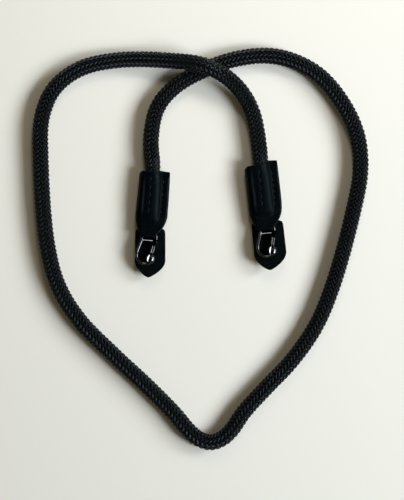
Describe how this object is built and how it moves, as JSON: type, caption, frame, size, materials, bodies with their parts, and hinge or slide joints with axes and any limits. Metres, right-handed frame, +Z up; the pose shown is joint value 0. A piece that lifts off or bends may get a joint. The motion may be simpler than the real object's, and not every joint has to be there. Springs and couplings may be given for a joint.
{
  "type": "camera strap",
  "caption": "Braided rope camera strap lying in a heart-shaped loop, with folded leather ends, guard flaps and small sprung snap hooks.",
  "frame": {"origin": "on the surface the strap lies on, under the middle of the box round the two leather ends and their hooks", "axes": "+Z up from the surface, -Y the way the hooks point, +X from the left end to the right end"},
  "size_m": [0.2275, 0.2722, 0.0201],
  "materials": {
    "braided_rope": "tightly braided, slightly shiny yarn",
    "black_leather": "smooth, satin",
    "black_suede": "short nap",
    "black_nickel": "polished, dark"
  },
  "bodies": {
    "strap": {"rope": "braided_rope", "left_rope_end": "braided_rope", "right_rope_end": "braided_rope", "left_sleeve": "black_leather", "right_sleeve": "black_leather", "left_flap": "black_suede", "right_flap": "black_suede"},
    "left_hook": {"left_hook": "black_nickel"},
    "left_gate": {"left_gate": "black_nickel"},
    "right_hook": {"right_hook": "black_nickel"},
    "right_gate": {"right_gate": "black_nickel"}
  },
  "joints": [
    {"name": "left_hook_swing", "type": "hinge", "parent": "strap", "child": "left_hook", "pos_m": [-0.04159, -0.00948, 0.0074], "axis": [-0.9972, 0.075, 0], "range_deg": [0, 24]},
    {"name": "left_gate_open", "type": "hinge", "parent": "left_hook", "child": "left_gate", "pos_m": [-0.03764, -0.01426, 0.00787], "axis": [-0.0078, -0.1042, -0.9945], "range_deg": [0, 28], "stiffness_Nm_per_rad": 0.012, "springref_deg": -20.05},
    {"name": "right_hook_swing", "type": "hinge", "parent": "strap", "child": "right_hook", "pos_m": [0.03806, -0.0045, 0.0074], "axis": [-0.9952, -0.0976, 0], "range_deg": [0, 24]},
    {"name": "right_gate_open", "type": "hinge", "parent": "right_hook", "child": "right_gate", "pos_m": [0.04277, -0.0085, 0.0081], "axis": [0.0153, -0.1557, -0.9877], "range_deg": [0, 28], "stiffness_Nm_per_rad": 0.012, "springref_deg": -20.05}
  ]
}
